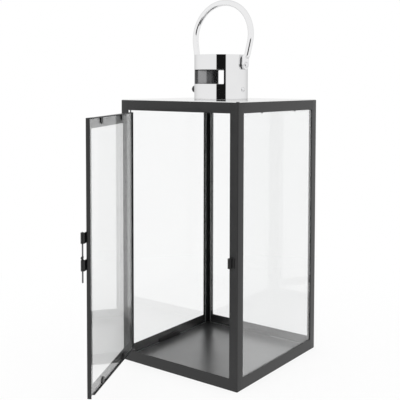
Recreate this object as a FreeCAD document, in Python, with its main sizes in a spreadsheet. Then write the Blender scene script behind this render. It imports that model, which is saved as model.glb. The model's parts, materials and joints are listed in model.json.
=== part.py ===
"""Candle lantern with a hinged glass door, a chimney collar and a carrying handle.

Millimetres, +Z up. The origin is the centre of the base plate's underside. The front, with the
door, faces -Y. The door is hinged on the left and stands open, its drop pin is down, and the
handle leans a little to the back.
"""
import FreeCAD, Part
import Sketcher
import os
import re

SIZES = {
    # square body of folded angles
    "body_wide": 228.0,        # outside width and depth
    "body_tall": 420.0,        # floor to the top of the frame
    "sheet": 1.0,              # wall of posts, rails, stops and clips
    "leg": 14.4,               # each leg of a corner post
    "top_rail": 15.8,          # height of a top rail
    "foot_rail": 17.6,         # height of a bottom rail
    "ledge": 12.0,             # flange of a top rail, under the roof
    "base_thick": 2.2,
    "roof_thick": 1.2,
    # fixed panes
    "pane_thick": 3.0,
    "pane_lap": 5.3,           # how far a pane reaches behind a post's leg
    "pane_play": 0.1,          # between a pane and the sheet on each side of it
    "pane_head": 1.0,          # free space over a pane
    "stop_long": 55.0,         # upstand on the base plate
    "stop_tall": 7.0,
    "clip_apart": 96.0,        # between the two clips over a pane
    "clip_wide": 9.0,
    "clip_below": 2.0,         # clip's tip under the rail's lower edge
    "clip_point": 3.0,         # height of the pointed tip
    "edge_clip_low": 110.0,    # clip on a back post
    "edge_clip_tall": 14.0,
    "edge_clip_wide": 4.6,
    "edge_clip_lip": 3.0,
    # chimney collar on the roof
    "collar_radius": 43.7,     # outside
    "collar_wall": 1.2,
    "collar_tall": 71.8,
    "window_wide": 58.0,
    "window_tall": 22.8,
    "window_low": 25.0,        # above the roof
    "window_round": 0.8,
    "neck_wall": 1.0,
    "neck_tall": 21.5,         # above the roof
    "neck_play": 0.1,          # neck to collar, and neck to roof
    "neck_flange": 6.0,        # how far the flange reaches out under the roof
    # bolt through the collar and the neck
    "bolt_up": 16.3,           # bolt's axis above the roof
    "bolt_radius": 3.0,
    "bolt_head_radius": 4.35,
    "bolt_head_tall": 2.2,
    "nut_flats": 13.0,
    "nut_hex": 7.0,
    "nut_neck": 2.4,
    "nut_dome": 6.2,
    # handle
    "swing_up": 55.6,          # handle's axis above the roof
    "rod_wide": 9.5,
    "foot_out": 3.8,           # rod's line outside the collar, at the axis
    "loop_radius": 55.6,       # of the bend's centre line
    "loop_up": 46.2,           # bend's centre above the axis
    "tab_thick": 5.0,
    "tab_wide": 15.5,
    "tab_gap": 1.2,            # tab to collar
    "tab_flat": 10.0,          # height above the axis where the flat end starts to narrow
    "tab_round": 16.5,         # height above the axis where the rod is round again
    "rivet_radius": 2.5,
    "rivet_play": 0.05,
    "rivet_head_radius": 4.6,
    "rivet_head_tall": 2.7,
    "rivet_back_radius": 4.0,
    "rivet_back_tall": 1.6,
    "rivet_back_gap": 0.3,     # flat head inside the curved wall
    "rivet_head_gap": 0.1,     # dome head to tab
    "lean": 4.5,               # handle's angle to the back
    # door
    "door_gap": 1.5,           # door's edge to a post, each side
    "door_lift": 2.0,          # over the bottom rail
    "door_drop": 3.5,          # under the top rail
    "door_sheet": 1.0,
    "door_leg": 13.6,          # face leg of a door stile
    "door_rail_leg": 14.8,     # face leg of a door rail
    "door_deep": 6.0,          # other leg, into the lantern
    "door_open": 64.0,         # angle of the open door
    "door_pane": 3.0,
    "door_pane_play": 0.5,     # door's pane to its frame, all round
    "door_clip_apart": 92.0,
    "door_clip_wide": 9.0,
    "door_clip_tall": 10.0,
    "pivot_in": 2.2,           # hinge axis from the door's edge
    "pivot_deep": 2.3,         # hinge axis behind the door's face
    "pivot_radius": 1.0,
    "pivot_play": 0.05,
    "pivot_long": 2.5,         # pin's end past its lug
    "pivot_shoulder": 2.0,     # radius of the step that carries the door
    "lug_wide": 8.0,
    "lug_deep": 6.0,
    # drop pin latch
    "keeper_low": 180.5,
    "knuckle_tall": 14.8,
    "knuckle_gap": 0.5,        # keeper to lower guide
    "upper_guide_low": 233.0,
    "knuckle_radius": 2.6,
    "knuckle_out": 3.6,        # pin's line off the face
    "knuckle_past": 3.9,       # pin's line past the door's free edge
    "leaf_thick": 1.0,
    "leaf_wide": 9.0,
    "guide_arm": 3.0,          # guide's arm over the stile
    "keeper_leaf": 6.9,
    "arm_gap": 0.4,            # guide's arm off the post's face
    "pin_radius": 1.1,
    "pin_play": 0.1,
    "pin_low": 179.5,
    "pin_top": 248.6,
    "knob_radius": 2.0,
    "knob_out": 0.8,
    "knob_foot": 1.0,          # stop disc under the knob
}

doc = FreeCAD.newDocument("lantern")
dims = doc.addObject("Spreadsheet::Sheet", "dims")
for row, (alias, value) in enumerate(SIZES.items(), 1):
    dims.set(f"A{row}", alias)
    dims.set(f"B{row}", str(value))
    dims.setAlias(f"B{row}", alias)
doc.recompute()
NODES = []


def formula(text):
    """The same formula with every named size read from the sheet."""
    def from_sheet(word):
        return "dims." + word.group() if word.group() in SIZES else word.group()
    return re.sub(r"[A-Za-z]\w*", from_sheet, text)


def bind(thing, **formulas):
    for size, text in formulas.items():
        thing.setExpression(size, formula(text))
    return thing


def put(thing, at, axis="0; 0; 1", angle="0", centre="0; 0; 0"):
    """Moves a thing to at, turned by angle about an axis through centre."""
    text = (f"create(<<placement>>; create(<<vector>>; {at}); create(<<rotation>>; "
            f"create(<<vector>>; {axis}); {angle}); create(<<vector>>; {centre}))")
    thing.setExpression("Placement", formula(text))
    return thing


def block(low, size):
    """A box from its low corner, given as 'x; y; z', and its three sizes."""
    long, deep, tall = size
    thing = doc.addObject("Part::Box", "block")
    return put(bind(thing, Length=long, Width=deep, Height=tall), low)


def rod(at, radius, long, along="z"):
    """A cylinder from the centre of its first end."""
    turns = {"z": ("0; 0; 1", "0"), "x": ("0; 1; 0", "90")}
    thing = doc.addObject("Part::Cylinder", "rod")
    return put(bind(thing, Radius=radius, Height=long), at, *turns[along])


def ball(at, radius):
    thing = doc.addObject("Part::Sphere", "ball")
    return put(bind(thing, Radius=radius), at)


def point(low, wide, long, thick, up):
    """A flat triangle in an XZ plane, its tip up or down, from its base's low corner."""
    thing = doc.addObject("Part::Wedge", "point")
    bind(thing, Xmin="0", Xmax=wide, X2min=f"({wide}) / 2", X2max=f"({wide}) / 2")
    bind(thing, Ymin="0", Ymax=long, Zmin="0", Zmax=thick, Z2min="0", Z2max=thick)
    return put(thing, low, "1; 0; 0", "90" if up else "-90")


def fuse(*things):
    whole = doc.addObject("Part::MultiFuse", "fuse")
    whole.Shapes = list(things)
    return whole


def cut(base, *tools):
    for tool in tools:
        rest = doc.addObject("Part::Cut", "cut")
        rest.Base, rest.Tool = base, tool
        base = rest
    return base


def common(one, other):
    whole = doc.addObject("Part::MultiCommon", "common")
    whole.Shapes = [one, other]
    return whole


def profile(outline, role, long, both_ways=False, holes=()):
    """A body padded from a sketch of straight lines through the outline's points, with round holes."""
    body = doc.addObject("PartDesign::Body", "body")
    sketch = body.newObject("Sketcher::SketchObject", "outline")
    plane = [side for side in body.Origin.OriginFeatures if side.Role == role][0]
    sketch.AttachmentSupport = (plane, "")
    sketch.MapMode = "FlatFace"
    count = len(outline)
    flat = [[dims.evalExpression(formula(text)) for text in spot] for spot in outline]
    flat = [FreeCAD.Vector(float(u), float(v), 0) for u, v in flat]
    for side in range(count):
        sketch.addGeometry(Part.LineSegment(flat[side], flat[(side + 1) % count]), False)
    for side in range(count):
        sketch.addConstraint(Sketcher.Constraint("Coincident", side, 2, (side + 1) % count, 1))
        for kind, text in zip(("DistanceX", "DistanceY"), outline[side]):
            measure = getattr(flat[side], kind[-1].lower())
            number = sketch.addConstraint(Sketcher.Constraint(kind, -1, 1, side, 1, measure))
            sketch.setExpression(f"Constraints[{number}]", formula(text))
    for radius in holes:
        circle = Part.Circle(FreeCAD.Vector(), FreeCAD.Vector(0, 0, 1), 1)
        edge = sketch.addGeometry(circle, False)
        sketch.addConstraint(Sketcher.Constraint("Coincident", edge, 3, -1, 1))
        number = sketch.addConstraint(Sketcher.Constraint("Radius", edge, 1))
        sketch.setExpression(f"Constraints[{number}]", formula(radius))
    pad = body.newObject("PartDesign::Pad", "pad")
    pad.Profile = sketch
    if both_ways:
        pad.SideType = "Symmetric"
    pad.setExpression("Length", formula(long))
    return body


def node(label, *things, turn=None):
    """Names a sub-part: one body, or a group of solids, turned as a whole."""
    whole = things[0]
    if len(things) > 1 or not whole.isDerivedFrom("PartDesign::Body"):
        whole = doc.addObject("Part::Compound", label)
        whole.Links = list(things)
    if turn:
        put(whole, *turn)
    whole.Label = label
    NODES.append(whole)


def quarter(turns):
    """The turn that takes a piece of the front to the right (1), the back (2) or the left (3)."""
    return ("0; 0; 0", "0; 0; 1", str(90 * turns))


# ---- places that several pieces share, as formulas ----
HALF = "(body_wide / 2)"
POST_EDGE = f"({HALF} - leg)"                      # post's inner edge, from the middle
DOOR_EDGE = f"({POST_EDGE} - door_gap)"
DOOR_LOW = "(foot_rail + door_lift)"
DOOR_HIGH = "(body_tall - top_rail - door_drop)"
ROOF_TOP = "(body_tall + roof_thick)"
FACE = f"(-{HALF})"                                # outside of the front
PANE_FACE = f"({FACE} + sheet + pane_play)"
PANE_BACK = f"({PANE_FACE} + pane_thick + pane_play)"
COLLAR_BORE = "(collar_radius - collar_wall)"
NECK = f"({COLLAR_BORE} - neck_play)"
BOLT_HIGH = f"({ROOF_TOP} + bolt_up)"
SWING_HIGH = f"({ROOF_TOP} + swing_up)"

# in the order in which quarter turns reach them
SIDES = ("front", "right", "back", "left")
CORNERS = ("front_left", "front_right", "back_right", "back_left")

# ---- frame: four corner posts with rails butted between them ----
POST = [(FACE, FACE), (f"{FACE} + leg", FACE), (f"{FACE} + leg", f"{FACE} + sheet"),
        (f"{FACE} + sheet", f"{FACE} + sheet"), (f"{FACE} + sheet", f"{FACE} + leg"),
        (FACE, f"{FACE} + leg")]
for turns, corner in enumerate(CORNERS):
    node(f"post_{corner}", profile(POST, "XY_Plane", "body_tall"), turn=quarter(turns))

RAIL = [(FACE, "body_tall - top_rail"), (f"{FACE} + sheet", "body_tall - top_rail"),
        (f"{FACE} + sheet", "body_tall - sheet"), (f"{FACE} + ledge", "body_tall - sheet"),
        (f"{FACE} + ledge", "body_tall"), (FACE, "body_tall")]
for turns, side in enumerate(SIDES):
    angle = profile(RAIL, "YZ_Plane", f"2 * {POST_EDGE}", both_ways=True)
    node(f"top_rail_{side}", angle, turn=quarter(turns))
    strip = block(f"-{POST_EDGE}; {FACE}; 0", (f"2 * {POST_EDGE}", "sheet", "foot_rail"))
    node(f"bottom_rail_{side}", strip, turn=quarter(turns))

# ---- base plate inside the posts, roof plate over them ----
INSIDE = f"({FACE} + sheet)"
node("base_plate", block(f"{INSIDE}; {INSIDE}; 0", (f"-2 * {INSIDE}",) * 2 + ("base_thick",)))
SQUARE = [(FACE, FACE), (HALF, FACE), (HALF, HALF), (FACE, HALF)]
roof = profile(SQUARE, "XY_Plane", "roof_thick", holes=[f"{NECK} + neck_play"])
node("roof_plate", roof, turn=("0; 0; body_tall", "0; 0; 1", "0"))

# ---- fixed panes, each behind the posts' legs with an upstand and two clips inside it ----
PANE_HALF = f"({POST_EDGE} + pane_lap)"
PANE_TALL = "(body_tall - sheet - pane_head - base_thick)"
for side in ("right", "back", "left"):
    turn = quarter(SIDES.index(side))
    pane = block(f"-{PANE_HALF}; {PANE_FACE}; base_thick",
                 (f"2 * {PANE_HALF}", "pane_thick", PANE_TALL))
    node(f"glass_{side}", pane, turn=turn)
    upstand = block(f"-stop_long / 2; {PANE_BACK}; base_thick", ("stop_long", "sheet", "stop_tall"))
    node(f"pane_stop_{side}", upstand, turn=turn)
    clips = []
    for way in ("-", ""):
        left = f"({way}clip_apart / 2 - clip_wide / 2)"
        foot = "(body_tall - top_rail - clip_below + clip_point)"
        plate = block(f"{left}; {PANE_BACK}; {foot}",
                      ("clip_wide", "sheet", f"body_tall - sheet - {foot}"))
        tip = point(f"{left}; {PANE_BACK}; {foot}", "clip_wide", "clip_point", "sheet", up=False)
        clips.append(fuse(plate, tip))
    node(f"pane_clips_{side}", *clips, turn=turn)

# clip welded to the back right post, at the edge of the back pane (seen here from the front)
CLIP_X = f"(-{PANE_HALF} - pane_play - edge_clip_wide)"
clip_body = block(f"{CLIP_X}; {INSIDE}; edge_clip_low",
                  ("edge_clip_wide", f"{PANE_BACK} + sheet - {INSIDE}", "edge_clip_tall"))
clip_lip = block(f"{CLIP_X}; {PANE_BACK}; edge_clip_low",
                 ("edge_clip_wide + pane_play + edge_clip_lip", "sheet", "edge_clip_tall"))
node("pane_edge_clip", fuse(clip_body, clip_lip), turn=quarter(SIDES.index("back")))

# ---- chimney: neck through the roof, collar over it, one bolt through both ----
flange_up = "(body_tall - sheet)"
neck_tube = rod(f"0; 0; {flange_up}", NECK, "sheet + roof_thick + neck_tall")
neck_flange = rod(f"0; 0; {flange_up}", f"{NECK} + neck_flange", "sheet")
neck_bore = rod(f"0; 0; {flange_up}", f"{NECK} - neck_wall", "sheet + roof_thick + neck_tall")
bolt_hole = rod(f"-collar_radius; 0; {BOLT_HIGH}", "bolt_radius", "2 * collar_radius", "x")
node("vent_neck", cut(fuse(neck_tube, neck_flange), neck_bore, bolt_hole))

collar_tube = rod(f"0; 0; {ROOF_TOP}", "collar_radius", "collar_tall")
collar_bore = rod(f"0; 0; {ROOF_TOP}", COLLAR_BORE, "collar_tall")
window_block = block(f"-window_wide / 2; -collar_radius; {ROOF_TOP} + window_low",
                     ("window_wide", "2 * collar_radius", "window_tall"))
doc.recompute()
window = doc.addObject("Part::Fillet", "window")
window.Base = window_block
corner_edges = [number for number, edge in enumerate(window_block.Shape.Edges, 1)
                if abs(edge.tangentAt(edge.FirstParameter).y) > 0.9]
window.Edges = [(number, dims.window_round, dims.window_round) for number in corner_edges]
rivet_hole = rod(f"-collar_radius; 0; {SWING_HIGH}", "rivet_radius", "2 * collar_radius", "x")
collar_bolt_hole = rod(f"-collar_radius; 0; {BOLT_HIGH}", "bolt_radius", "2 * collar_radius", "x")
node("collar", cut(collar_tube, collar_bore, window, collar_bolt_hole, rivet_hole))

HEAD_BALL = "((bolt_head_radius ^ 2 + bolt_head_tall ^ 2) / (2 * bolt_head_tall))"
head_disc = rod(f"collar_radius; 0; {BOLT_HIGH}", "bolt_head_radius", "bolt_head_tall", "x")
head_ball = ball(f"collar_radius + bolt_head_tall - {HEAD_BALL}; 0; {BOLT_HIGH}", HEAD_BALL)
shank = rod(f"-collar_radius - nut_hex; 0; {BOLT_HIGH}", "bolt_radius",
            "2 * collar_radius + nut_hex", "x")
node("cross_bolt", fuse(shank, common(head_disc, head_ball)))

hexagon = doc.addObject("Part::Prism", "hexagon")
hexagon.Polygon = 6
bind(hexagon, Circumradius="nut_flats / sqrt(3)", Height="nut_hex")
put(hexagon, f"-collar_radius - nut_hex; 0; {BOLT_HIGH}", "0; 1; 0", "90")
nut_neck = rod(f"-collar_radius - nut_hex - nut_neck; 0; {BOLT_HIGH}", "nut_dome", "nut_neck", "x")
nut_dome = ball(f"-collar_radius - nut_hex - nut_neck; 0; {BOLT_HIGH}", "nut_dome")
nut_bore = rod(f"-collar_radius - nut_hex; 0; {BOLT_HIGH}", "bolt_radius", "nut_hex", "x")
node("cap_nut", cut(fuse(hexagon, nut_neck, nut_dome), nut_bore))

# ---- handle: one bent rod with flattened ends, held by two dome rivets ----
FOOT = "(collar_radius + foot_out)"                # rod's line at the height of the axis
REACH = f"sqrt({FOOT} ^ 2 + loop_up ^ 2)"          # from there to the bend's centre
SLOPE = f"(180 deg - atan(loop_up / {FOOT}) - asin(loop_radius / {REACH}))"
STRAIGHT = f"sqrt({FOOT} ^ 2 + loop_up ^ 2 - loop_radius ^ 2)"
TAB_X = "(collar_radius + tab_gap + tab_thick / 2)"
ROUND_X = f"({FOOT} + tab_round / tan({SLOPE}))"
bend = doc.addObject("Part::Torus", "bend")
bind(bend, Radius1="loop_radius", Radius2="rod_wide / 2", Angle3=f"360 deg - 2 * {SLOPE}")
SPIN = ("create(<<rotation>>; create(<<vector>>; 1; 0; 0); 90) * "
        f"create(<<rotation>>; create(<<vector>>; 0; 0; 1); {SLOPE} - 90 deg)")
bend.setExpression("Placement", formula(
    f"create(<<placement>>; create(<<vector>>; 0; 0; {SWING_HIGH} + loop_up); {SPIN})"))
pieces = [bend]
for way, side in ((1, ""), (-1, "-")):
    upright = doc.addObject("Part::Cylinder", "upright")
    bind(upright, Radius="rod_wide / 2", Height=f"{STRAIGHT} - tab_round / sin({SLOPE})")
    lean_out = f"{way} * (90 deg - {SLOPE})"
    put(upright, f"{side}{ROUND_X}; 0; {SWING_HIGH} + tab_round", "0; 1; 0", lean_out)
    ring = doc.addObject("Part::Circle", "ring")
    put(bind(ring, Radius="rod_wide / 2"), f"{side}{ROUND_X}; 0; {SWING_HIGH} + tab_round",
        "0; 1; 0", lean_out)
    oval = doc.addObject("Part::Ellipse", "oval")
    bind(oval, MajorRadius="tab_wide / 2", MinorRadius="tab_thick / 2")
    put(oval, f"{side}{TAB_X}; 0; {SWING_HIGH} + tab_flat", "0; 0; 1", "90")
    forged = doc.addObject("Part::Loft", "forged")
    forged.Sections = [oval, ring]
    forged.Solid = True
    eye_x = f"{side}{TAB_X} - tab_thick / 2"
    eye = rod(f"{eye_x}; 0; {SWING_HIGH}", "tab_wide / 2", "tab_thick", "x")
    strap = block(f"{eye_x}; -tab_wide / 2; {SWING_HIGH}",
                  ("tab_thick", "tab_wide", "tab_flat"))
    pieces += [upright, forged, eye, strap]
pin_hole = rod(f"-{TAB_X} - tab_thick; 0; {SWING_HIGH}", "rivet_radius + rivet_play",
               f"2 * ({TAB_X} + tab_thick)", "x")
LEAN_BACK = ("0; 0; 0", "1; 0; 0", "-lean", f"0; 0; {SWING_HIGH}")
node("handle", cut(fuse(*pieces), pin_hole), turn=LEAN_BACK)

RIVET_BALL = "((rivet_head_radius ^ 2 + rivet_head_tall ^ 2) / (2 * rivet_head_tall))"
HEAD_X = f"({TAB_X} + tab_thick / 2 + rivet_head_gap)"
BACK_X = f"({COLLAR_BORE} - rivet_back_gap - rivet_back_tall)"
for side, turns in (("right", 0), ("left", 2)):        # the right one is drawn, the left is turned
    dome = common(rod(f"{HEAD_X}; 0; {SWING_HIGH}", "rivet_head_radius", "rivet_head_tall", "x"),
                  ball(f"{HEAD_X} + rivet_head_tall - {RIVET_BALL}; 0; {SWING_HIGH}", RIVET_BALL))
    stem = rod(f"{BACK_X}; 0; {SWING_HIGH}", "rivet_radius",
               f"{HEAD_X} + rivet_head_tall / 2 - {BACK_X}", "x")
    back = rod(f"{BACK_X}; 0; {SWING_HIGH}", "rivet_back_radius", "rivet_back_tall", "x")
    node(f"handle_rivet_{side}", fuse(dome, stem, back), turn=quarter(turns))

# ---- door: drawn shut, then swung open as a whole about its hinge axis ----
AXIS_X = f"(-{DOOR_EDGE} + pivot_in)"
AXIS_Y = f"({FACE} + pivot_deep)"
SWUNG = ("0; 0; 0", "0; 0; 1", "-door_open", f"{AXIS_X}; {AXIS_Y}; 0")
DOOR_TALL = f"({DOOR_HIGH} - {DOOR_LOW})"
DOOR_BACK = f"({FACE} + door_sheet)"               # back of the face legs
for side, way in (("hinge", "-"), ("latch", "")):
    edge = f"{way}{DOOR_EDGE}"
    inner = f"{way}({DOOR_EDGE} - door_leg)"
    web = f"{way}({DOOR_EDGE} - door_sheet)"
    stile = [(edge, FACE), (inner, FACE), (inner, DOOR_BACK), (web, DOOR_BACK),
             (web, f"{FACE} + door_deep"), (edge, f"{FACE} + door_deep")]
    lifted = put(profile(stile, "XY_Plane", DOOR_TALL), f"0; 0; {DOOR_LOW}")
    holder = doc.addObject("Part::Compound", "stile")
    holder.Links = [lifted]
    node(f"door_stile_{side}", holder, turn=SWUNG)

RAIL_HALF = f"({DOOR_EDGE} - door_leg)"
FLANGE_HALF = f"({DOOR_EDGE} - door_sheet)"
LEDGES = {"bottom": (DOOR_LOW, DOOR_LOW),
          "top": (f"({DOOR_HIGH} - door_rail_leg)", f"({DOOR_HIGH} - door_sheet)")}
for side, (face_low, flange_low) in LEDGES.items():
    face_leg = block(f"-{RAIL_HALF}; {FACE}; {face_low}",
                     (f"2 * {RAIL_HALF}", "door_sheet", "door_rail_leg"))
    flange = block(f"-{FLANGE_HALF}; {DOOR_BACK}; {flange_low}",
                   (f"2 * {FLANGE_HALF}", "door_deep - door_sheet", "door_sheet"))
    drilled = rod(f"{AXIS_X}; {AXIS_Y}; {flange_low}", "pivot_radius", "door_sheet")
    node(f"door_rail_{side}", cut(fuse(face_leg, flange), drilled), turn=SWUNG)

GLASS_HALF = f"({DOOR_EDGE} - door_sheet - door_pane_play)"
GLASS_LOW = f"({DOOR_LOW} + door_sheet + door_pane_play)"
GLASS_TALL = f"({DOOR_TALL} - 2 * door_sheet - 2 * door_pane_play)"
door_pane = block(f"-{GLASS_HALF}; {DOOR_BACK} + pane_play; {GLASS_LOW}",
                  (f"2 * {GLASS_HALF}", "door_pane", GLASS_TALL))
node("door_glass", door_pane, turn=SWUNG)

CLIP_Y = f"({DOOR_BACK} + door_pane + 2 * pane_play)"
STRAIGHT_TALL = "(door_clip_tall - clip_point)"
for side, up in (("bottom", True), ("top", False)):
    clips = []
    for way in ("-", ""):
        left = f"({way}door_clip_apart / 2 - door_clip_wide / 2)"
        if up:
            low = f"({DOOR_LOW} + door_sheet)"
            tip_at = f"{left}; {CLIP_Y} + door_sheet; {low} + {STRAIGHT_TALL}"
        else:
            low = f"({DOOR_HIGH} - door_sheet - {STRAIGHT_TALL})"
            tip_at = f"{left}; {CLIP_Y}; {low}"
        plate = block(f"{left}; {CLIP_Y}; {low}", ("door_clip_wide", "door_sheet", STRAIGHT_TALL))
        clips.append(fuse(plate, point(tip_at, "door_clip_wide", "clip_point", "door_sheet", up)))
    node(f"door_clips_{side}", *clips, turn=SWUNG)

# hinge: a stepped pin under the door, a plain one over it, each in a lug on the frame
LUG_LOW = {"bottom": "(foot_rail - sheet)", "top": "(body_tall - top_rail)"}
for side, low in LUG_LOW.items():
    plate = block(f"-{POST_EDGE}; {INSIDE}; {low}", ("lug_wide", "lug_deep", "sheet"))
    eye = rod(f"{AXIS_X}; {AXIS_Y}; {low}", "pivot_radius + pivot_play", "sheet")
    node(f"hinge_lug_{side}", cut(plate, eye))

bottom_end = f"({LUG_LOW['bottom']} - pivot_long)"
bottom_pin = rod(f"{AXIS_X}; {AXIS_Y}; {bottom_end}", "pivot_radius",
                 f"{DOOR_LOW} + door_sheet - {bottom_end}")
shoulder = rod(f"{AXIS_X}; {AXIS_Y}; foot_rail", "pivot_shoulder", "door_lift")
node("hinge_pin_bottom", fuse(bottom_pin, shoulder), turn=SWUNG)
top_pin = rod(f"{AXIS_X}; {AXIS_Y}; {DOOR_HIGH} - door_sheet", "pivot_radius",
              "door_sheet + door_drop + sheet + pivot_long")
node("hinge_pin_top", top_pin, turn=SWUNG)

# ---- latch: two guides on the door, a keeper on the post, a drop pin through all three ----
PIN_X = f"({DOOR_EDGE} + knuckle_past)"
PIN_Y = f"({FACE} - knuckle_out)"
GUIDE_LOW = {"lower": "(keeper_low + knuckle_tall + knuckle_gap)", "upper": "upper_guide_low"}
for side, low in GUIDE_LOW.items():
    leaf = block(f"{DOOR_EDGE} - leaf_wide; {FACE} - leaf_thick; {low}",
                 ("leaf_wide", "leaf_thick", "knuckle_tall"))
    arm = block(f"{DOOR_EDGE} - guide_arm; {FACE} - arm_gap - leaf_thick; {low}",
                ("guide_arm + knuckle_past", "leaf_thick", "knuckle_tall"))
    roll = rod(f"{PIN_X}; {PIN_Y}; {low}", "knuckle_radius", "knuckle_tall")
    bore = rod(f"{PIN_X}; {PIN_Y}; {low}", "pin_radius + pin_play", "knuckle_tall")
    node(f"latch_guide_{side}", cut(fuse(leaf, arm, roll), bore), turn=SWUNG)

keeper_plate = block(f"{PIN_X}; {FACE} - leaf_thick; keeper_low",
                     ("keeper_leaf", "leaf_thick", "knuckle_tall"))
keeper_wall = block(f"{PIN_X}; {PIN_Y}; keeper_low",
                    ("knuckle_radius", "knuckle_out", "knuckle_tall"))
keeper_roll = rod(f"{PIN_X}; {PIN_Y}; keeper_low", "knuckle_radius", "knuckle_tall")
keeper_bore = rod(f"{PIN_X}; {PIN_Y}; keeper_low", "pin_radius + pin_play", "knuckle_tall")
node("latch_keeper", cut(fuse(keeper_plate, keeper_wall, keeper_roll), keeper_bore))

node("latch_pin", rod(f"{PIN_X}; {PIN_Y}; pin_low", "pin_radius", "pin_top - pin_low"), turn=SWUNG)
KNOB_LOW = f"({GUIDE_LOW['lower']} + knuckle_tall)"
knob_ball = ball(f"{PIN_X}; {PIN_Y} - knob_out; {KNOB_LOW} + knob_foot + knob_radius", "knob_radius")
knob_disc = rod(f"{PIN_X}; {PIN_Y}; {KNOB_LOW}", "knob_radius", "2 * knob_foot")
knob_bore = rod(f"{PIN_X}; {PIN_Y}; {KNOB_LOW}", "pin_radius", "knob_foot + 2 * knob_radius")
node("latch_knob", cut(fuse(knob_ball, knob_disc), knob_bore), turn=SWUNG)

# ---- every object has to be sound before anything is written ----
doc.recompute()
for thing in doc.Objects:
    if {"Invalid", "Error"} & set(thing.State):
        raise RuntimeError(f"{thing.Label}: {thing.State}")
for thing in NODES:
    if thing.Shape.isNull() or not thing.Shape.isValid() or not thing.Shape.Solids:
        raise RuntimeError(f"{thing.Label}: its solid is not sound")
os.makedirs("parts", exist_ok=True)
for thing in NODES:
    thing.Shape.exportStep(f"parts/{thing.Label}.step")
    print(thing.Label, len(thing.Shape.Solids), round(thing.Shape.Volume, 1))
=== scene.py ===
import json
from math import cos, pi, radians, sin, sqrt

import bmesh
import bpy
import numpy as np
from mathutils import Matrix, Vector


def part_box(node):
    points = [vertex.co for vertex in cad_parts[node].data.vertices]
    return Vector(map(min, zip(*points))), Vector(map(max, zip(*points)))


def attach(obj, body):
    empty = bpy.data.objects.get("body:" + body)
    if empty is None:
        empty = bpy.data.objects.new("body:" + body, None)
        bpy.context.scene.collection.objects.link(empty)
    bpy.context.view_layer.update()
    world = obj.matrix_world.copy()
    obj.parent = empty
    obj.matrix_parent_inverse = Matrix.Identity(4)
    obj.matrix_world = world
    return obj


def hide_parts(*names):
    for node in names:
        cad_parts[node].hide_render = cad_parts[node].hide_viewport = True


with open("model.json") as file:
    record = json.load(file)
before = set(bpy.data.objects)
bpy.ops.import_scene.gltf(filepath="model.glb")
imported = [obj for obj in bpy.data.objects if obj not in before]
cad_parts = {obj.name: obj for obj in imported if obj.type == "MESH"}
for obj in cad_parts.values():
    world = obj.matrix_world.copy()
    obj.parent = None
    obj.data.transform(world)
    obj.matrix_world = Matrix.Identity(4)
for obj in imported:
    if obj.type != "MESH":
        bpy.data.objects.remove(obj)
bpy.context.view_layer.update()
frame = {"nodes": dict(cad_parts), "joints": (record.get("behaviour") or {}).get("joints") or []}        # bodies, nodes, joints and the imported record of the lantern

MM = 0.001


# ---- base plate ----
# The floor of the lantern, where the candle stands: a square of thick steel sheet, painted satin
# black. It lies between the four corner posts and is welded to the rails round its edge.

SHARP = radians(35)            # a sharper edge than this is an edge, and not a curve
SAME = 0.1 * MM * MM           # points nearer than this are one point
X, Y, Z = 0, 1, 2


def corners(node):
    """The lowest and the highest corner of a node of the frame."""
    low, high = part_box(node)
    return np.array(low), np.array(high)


def oblong(low, high):
    """The four corners of an upright oblong, in order, from its low and its high corner."""
    return np.array([(low[0], low[1]), (high[0], low[1]), (high[0], high[1]), (low[0], high[1])])


def rounded(outline, radii, steps=5):
    """A closed outline with an arc for each corner. The arc touches both sides of the corner, and its
    points are centre + radius * direction, the direction turning evenly from one side to the other."""
    outline = np.asarray(outline, float)
    radii = np.broadcast_to(radii, len(outline)).astype(float)[:, None]
    back = np.roll(outline, 1, axis=0) - outline
    on = np.roll(outline, -1, axis=0) - outline
    back /= np.linalg.norm(back, axis=1, keepdims=True)
    on /= np.linalg.norm(on, axis=1, keepdims=True)
    half = np.arccos(np.clip((back * on).sum(1, keepdims=True), -1, 1)) / 2
    middle = (back + on) / np.linalg.norm(back + on, axis=1, keepdims=True)
    centre = outline + middle * radii / np.sin(half)
    first = outline + back * radii / np.tan(half) - centre
    last = outline + on * radii / np.tan(half) - centre
    swept = (pi - 2 * half)[:, None]
    share = np.linspace(0, 1, steps + 1)[None, :, None]
    arc = np.sin((1 - share) * swept) * first[:, None] + np.sin(share * swept) * last[:, None]
    return (centre[:, None] + arc / np.sin(swept)).reshape(-1, 2)


def carried(outline, along, first, last):
    """Two rings: a flat outline set square to an axis, at its first and at its last place on it."""
    return np.stack([np.insert(outline, along, place, axis=1) for place in (first, last)])


def belts(rings, again):
    """Quads that join each ring of points to the next, and the last to the first if again is set."""
    count, size = rings.shape[:2]
    grid = np.arange(count * size).reshape(count, size)
    if again:
        grid = np.vstack([grid, grid[:1]])
    beside = np.roll(grid, -1, axis=1)
    return np.stack([grid[:-1], beside[:-1], beside[1:], grid[1:]], axis=2).reshape(-1, 4).tolist()


def capped(rings):
    """A closed shell over rings of points (ring, point, xyz), with a flat cap on each end."""
    count, size = rings.shape[:2]
    caps = [list(range(size)), list(range((count - 1) * size, count * size))]
    return rings.reshape(-1, 3), belts(rings, again=False) + caps


def looped(rings):
    """A closed shell over rings of points that come round to the first ring again."""
    return rings.reshape(-1, 3), belts(rings, again=True)


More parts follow.
